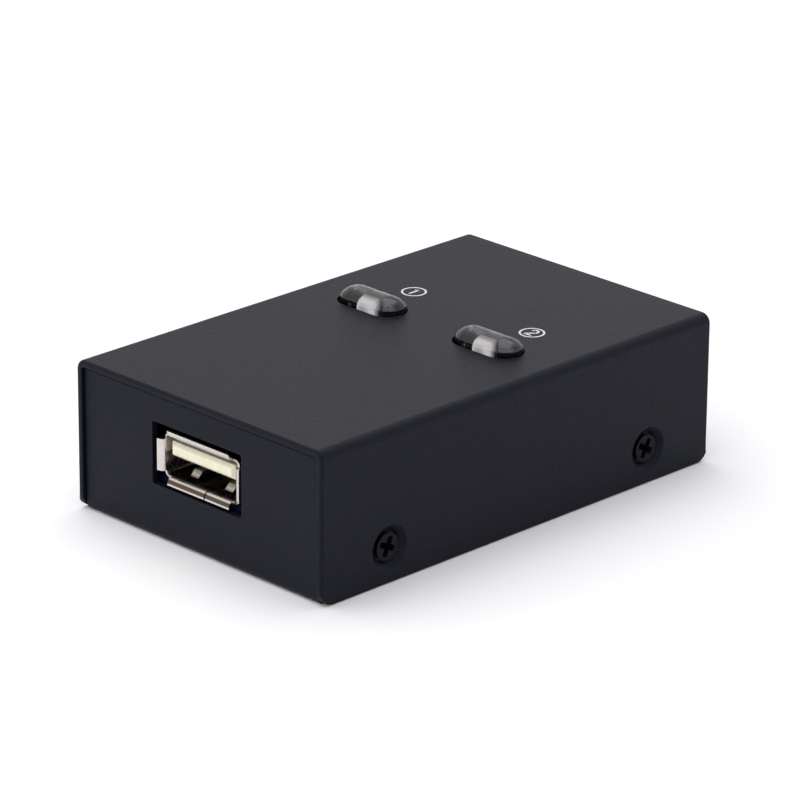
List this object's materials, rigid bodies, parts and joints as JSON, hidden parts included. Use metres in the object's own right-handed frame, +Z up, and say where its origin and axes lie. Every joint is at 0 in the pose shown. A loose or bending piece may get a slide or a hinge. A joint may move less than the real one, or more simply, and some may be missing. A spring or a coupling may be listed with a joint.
{
  "type": "sharing switch",
  "caption": "Small box that shares a device between computers: a port in front, host ports behind, push buttons on top, in two folded steel sheets.",
  "frame": {"origin": "middle of the underside of the case, seen from below its outer faces", "axes": "+X to the right seen from the front, +Y from the device port towards the host ports, +Z up"},
  "size_m": [0.043, 0.0676, 0.0216],
  "materials": {
    "case_coat": "fine matt powder coat",
    "black_screw": "black, satin",
    "zinc_steel": "zinc-plated",
    "nickel_sheet": "nickel-plated sheet",
    "gold_contact": "gold-plated",
    "board_blue": "dark blue solder mask",
    "ivory_plastic": "plain",
    "white_plastic": "plain",
    "smoky_plastic": "smoky clear, polished",
    "black_plastic": "moulded",
    "clear_lamp": "clear",
    "capacitor_sleeve": "shrunk sleeve"
  },
  "bodies": {
    "case": {"board_screw_back": "zinc_steel", "board_screw_left": "zinc_steel", "board_screw_right": "zinc_steel", "board_spacer_back": "zinc_steel", "board_spacer_left": "zinc_steel", "board_spacer_right": "zinc_steel", "capacitor_1": "capacitor_sleeve", "capacitor_2": "capacitor_sleeve", "chassis": "case_coat", "circuit_board": "board_blue", "control_chip": "black_plastic", "cover": "case_coat", "cover_screw_back_left": "black_screw", "cover_screw_back_right": "black_screw", "cover_screw_front_left": "black_screw", "cover_screw_front_right": "black_screw", "crystal": "zinc_steel", "device_port_contact_1": "gold_contact", "device_port_contact_2": "gold_contact", "device_port_contact_3": "gold_contact", "device_port_contact_4": "gold_contact", "device_port_insulator": "ivory_plastic", "device_port_shell": "nickel_sheet", "host_port_1_contact_1": "gold_contact", "host_port_1_contact_2": "gold_contact", "host_port_1_contact_3": "gold_contact", "host_port_1_contact_4": "gold_contact", "host_port_1_insulator": "white_plastic", "host_port_1_shell": "nickel_sheet", "host_port_2_contact_1": "gold_contact", "host_port_2_contact_2": "gold_contact", "host_port_2_contact_3": "gold_contact", "host_port_2_contact_4": "gold_contact", "host_port_2_insulator": "white_plastic", "host_port_2_shell": "nickel_sheet", "lamp_1": "clear_lamp", "lamp_2": "clear_lamp", "path_chip": "black_plastic", "resistor_1": "black_plastic", "resistor_2": "black_plastic", "resistor_3": "black_plastic", "resistor_4": "black_plastic", "switch_base_1": "black_plastic", "switch_base_2": "black_plastic", "switch_dome_1": "zinc_steel", "switch_dome_2": "zinc_steel", "switch_plate_1": "zinc_steel", "switch_plate_2": "zinc_steel"},
    "button_1": {"button_cap_1": "smoky_plastic", "switch_plunger_1": "white_plastic"},
    "button_2": {"button_cap_2": "smoky_plastic", "switch_plunger_2": "white_plastic"}
  },
  "joints": [
    {"name": "button_1_press", "type": "slide", "parent": "case", "child": "button_1", "axis": [0, 0, -1], "range_m": [0, 0.0003], "stiffness_N_per_m": 5000},
    {"name": "button_2_press", "type": "slide", "parent": "case", "child": "button_2", "axis": [0, 0, -1], "range_m": [0, 0.0003], "stiffness_N_per_m": 5000}
  ]
}
